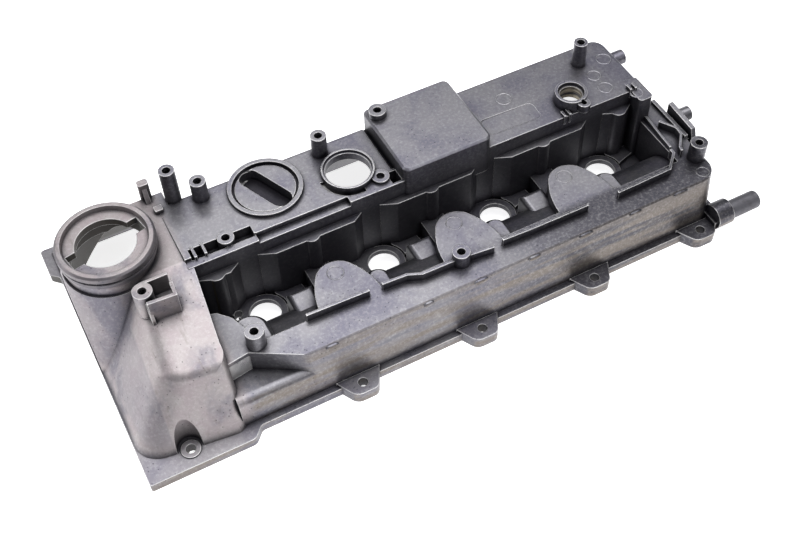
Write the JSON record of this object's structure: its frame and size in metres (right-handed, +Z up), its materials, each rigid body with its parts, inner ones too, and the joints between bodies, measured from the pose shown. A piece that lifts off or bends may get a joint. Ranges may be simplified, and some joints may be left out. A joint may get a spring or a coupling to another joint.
{
  "type": "engine valve cover",
  "caption": "Die-cast aluminium valve cover of a four-cylinder diesel engine, with an injector channel, filler neck and hose pipe",
  "frame": {"origin": "bottom centre of the whole, on the gasket face", "axes": "+X from the timing end to the rear end, +Y from the front ears to the rear ears, +Z up"},
  "size_m": [0.5124, 0.2358, 0.109],
  "materials": {
    "cast_aluminium": "as-cast, blasted grey with brighter machined seats",
    "pipe_aluminium": "drawn, matt"
  },
  "bodies": {
    "root": {"cover_casting": "cast_aluminium", "hose_pipe": "pipe_aluminium"}
  },
  "joints": []
}
